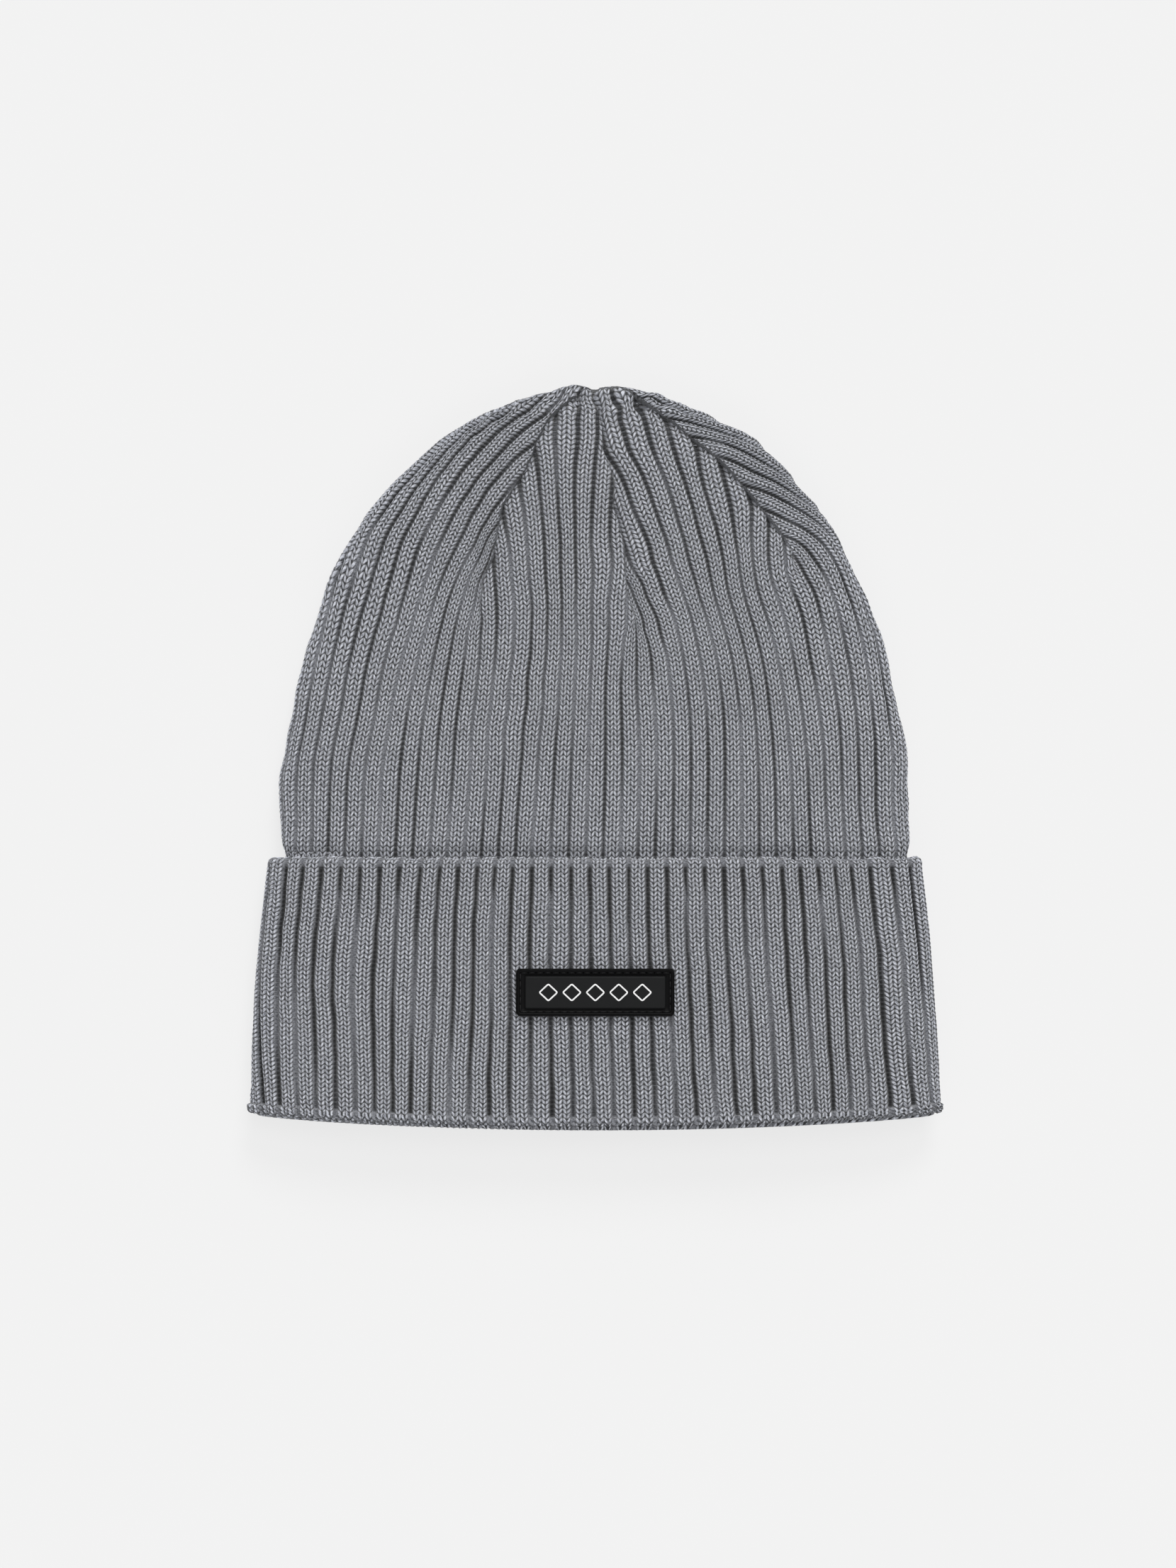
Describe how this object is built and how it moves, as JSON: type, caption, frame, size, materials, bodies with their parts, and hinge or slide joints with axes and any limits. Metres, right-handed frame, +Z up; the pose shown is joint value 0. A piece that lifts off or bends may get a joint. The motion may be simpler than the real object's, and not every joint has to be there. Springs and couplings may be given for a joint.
{
  "type": "knit beanie",
  "caption": "Grey rib-knit beanie lying flat, with a deep turned-up cuff, a gathered crown with decrease lines and a black rubber patch on the cuff.",
  "frame": {"origin": "on the surface the hat lies on, under the middle of its bounding box", "axes": "+Z up, out of the front of the hat where the patch is; +Y along the hat from the cuff to the crown; +X across the hat, to the right with the crown up"},
  "size_m": [0.2194, 0.2354, 0.0275],
  "materials": {
    "rib_knit": "cool mid-grey heather acrylic yarn, two-wale rib knit, matt and slightly fuzzy",
    "patch_rubber": "black moulded soft rubber, matt rim with a sewing channel",
    "patch_panel_rubber": "black moulded soft rubber, smoother raised panel",
    "white_rubber": "white soft rubber line, satin",
    "black_thread": "black polyester sewing thread",
    "satin_label": "white woven satin tape, blank",
    "label_thread": "grey polyester sewing thread"
  },
  "bodies": {
    "crown": {"crown": "rib_knit", "inner_band": "rib_knit", "back_seam": "rib_knit", "gather_knot": "rib_knit", "care_label": "satin_label", "label_stitching": "label_thread"},
    "cuff": {"cuff": "rib_knit", "cuff_fold": "rib_knit", "cast_on_edge": "rib_knit"},
    "patch": {"patch_base": "patch_rubber", "patch_panel": "patch_panel_rubber", "patch_stitching": "black_thread", "patch_motif_1": "white_rubber", "patch_motif_2": "white_rubber", "patch_motif_3": "white_rubber", "patch_motif_4": "white_rubber", "patch_motif_5": "white_rubber"}
  },
  "joints": [
    {"name": "cuff_turn_down", "type": "slide", "parent": "crown", "child": "cuff", "axis": [0, -1, 0], "range_m": [0, 0.03]},
    {"name": "patch_follow", "type": "slide", "parent": "cuff", "child": "patch", "axis": [0, -1, 0], "range_m": [0, 0.03]}
  ],
  "couplings": [
    {"joint": "patch_follow", "follows": "cuff_turn_down", "ratio": 1}
  ]
}
